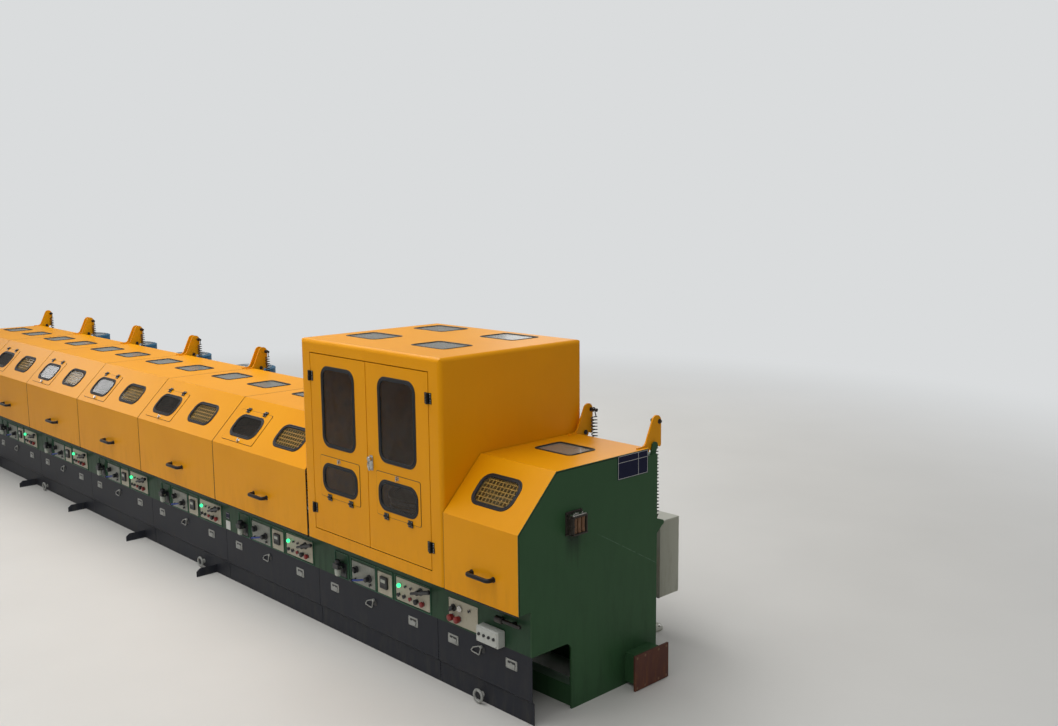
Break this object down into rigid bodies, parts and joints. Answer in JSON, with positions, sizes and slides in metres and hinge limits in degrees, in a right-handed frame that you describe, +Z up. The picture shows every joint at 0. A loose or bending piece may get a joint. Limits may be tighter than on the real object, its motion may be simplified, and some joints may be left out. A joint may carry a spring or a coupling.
{
  "type": "wire drawing machine",
  "caption": "Long straight-line wire drawing machine with hinged yellow sheet hoods, a tall cabinet with double doors, green welded frame and upright motors behind.",
  "frame": {"origin": "middle of the machine's outline on the floor", "axes": "+X along the machine towards the wire exit and its green end plate, -Y the operator side with doors, windows and controls, +Y the side with the motors, +Z up"},
  "size_m": [9.626, 1.755, 1.953],
  "materials": {
    "yellow_paint": "satin orange-yellow enamel on bent sheet steel",
    "green_paint": "satin dark green enamel on welded plate",
    "dark_grey_paint": "satin dark grey enamel",
    "blue_paint": "blue enamel on cast and rolled steel",
    "light_grey_paint": "light grey enamel",
    "cream_paint": "cream painted plates",
    "brown_primer": "red-brown primer with rust",
    "hardened_steel": "ground drum face",
    "spring_steel": "oiled spring steel",
    "aluminium": "anodised tube",
    "chrome": "chrome plated",
    "black_rubber": "matt rubber profile and dark panes",
    "black_plastic": "matt black"
  },
  "bodies": {
    "frame": {"end_plate_near": "green_paint", "end_plate_far": "green_paint", "base_rails": "green_paint", "bulkheads": "green_paint", "deck": "green_paint", "rear_beam": "green_paint", "rear_posts": "green_paint", "rear_wall": "green_paint", "control_strip": "green_paint", "control_plates": "cream_paint", "skirt_panels": "dark_grey_paint", "floor_feet": "dark_grey_paint", "capstans": "hardened_steel", "die_boxes": "dark_grey_paint", "motors": "blue_paint", "motor_cowls": "blue_paint", "motor_shelf": "green_paint", "shelf_gussets": "green_paint", "drive_belts": "black_rubber", "belt_guards": "yellow_paint", "gear_columns": "green_paint", "gear_caps": "black_plastic", "air_cylinders": "aluminium", "pump_motor": "dark_grey_paint", "pump_bracket": "green_paint", "junction_cabinet": "light_grey_paint", "air_duct": "dark_grey_paint", "exit_guide": "dark_grey_paint", "end_stub": "green_paint", "stub_flange": "brown_primer", "cabinet_shell": "yellow_paint", "cabinet_windows": "black_rubber", "cabinet_hinges": "black_plastic", "springs_1": "spring_steel", "springs_2": "spring_steel", "springs_3": "spring_steel", "springs_4": "spring_steel", "springs_5": "spring_steel", "springs_6": "spring_steel", "springs_end": "spring_steel"},
    "hood_1": {"hood_1": "yellow_paint", "hood_1_trim": "black_rubber"},
    "hood_2": {"hood_2": "yellow_paint", "hood_2_trim": "black_rubber"},
    "hood_3": {"hood_3": "yellow_paint", "hood_3_trim": "black_rubber"},
    "hood_4": {"hood_4": "yellow_paint", "hood_4_trim": "black_rubber"},
    "hood_5": {"hood_5": "yellow_paint", "hood_5_trim": "black_rubber"},
    "hood_6": {"hood_6": "yellow_paint", "hood_6_trim": "black_rubber"},
    "end_hood": {"end_hood": "yellow_paint", "end_hood_trim": "black_rubber"},
    "door_left": {"door_left": "yellow_paint", "door_left_trim": "black_rubber"},
    "door_right": {"door_right": "yellow_paint", "door_right_trim": "black_rubber", "door_lock": "chrome"}
  },
  "joints": [
    {"name": "hood_1_lift", "type": "hinge", "parent": "frame", "child": "hood_1", "pos_m": [0, 0.2975, 1.375], "axis": [-1, 0, 0], "range_deg": [0, 63], "deforming": ["springs_1"]},
    {"name": "hood_2_lift", "type": "hinge", "parent": "frame", "child": "hood_2", "pos_m": [0, 0.2975, 1.375], "axis": [-1, 0, 0], "range_deg": [0, 63], "deforming": ["springs_2"]},
    {"name": "hood_3_lift", "type": "hinge", "parent": "frame", "child": "hood_3", "pos_m": [0, 0.2975, 1.375], "axis": [-1, 0, 0], "range_deg": [0, 63], "deforming": ["springs_3"]},
    {"name": "hood_4_lift", "type": "hinge", "parent": "frame", "child": "hood_4", "pos_m": [0, 0.2975, 1.375], "axis": [-1, 0, 0], "range_deg": [0, 63], "deforming": ["springs_4"]},
    {"name": "hood_5_lift", "type": "hinge", "parent": "frame", "child": "hood_5", "pos_m": [0, 0.2975, 1.375], "axis": [-1, 0, 0], "range_deg": [0, 63], "deforming": ["springs_5"]},
    {"name": "hood_6_lift", "type": "hinge", "parent": "frame", "child": "hood_6", "pos_m": [0, 0.2975, 1.375], "axis": [-1, 0, 0], "range_deg": [0, 63], "deforming": ["springs_6"]},
    {"name": "end_hood_lift", "type": "hinge", "parent": "frame", "child": "end_hood", "pos_m": [0, 0.2975, 1.375], "axis": [-1, 0, 0], "range_deg": [0, 63], "deforming": ["springs_end"]},
    {"name": "door_left_swing", "type": "hinge", "parent": "frame", "child": "door_left", "pos_m": [2.792, -0.8325, 1.294], "axis": [0, 0, -1], "range_deg": [0, 110]},
    {"name": "door_right_swing", "type": "hinge", "parent": "frame", "child": "door_right", "pos_m": [3.982, -0.8325, 1.294], "axis": [0, 0, 1], "range_deg": [0, 110]}
  ]
}
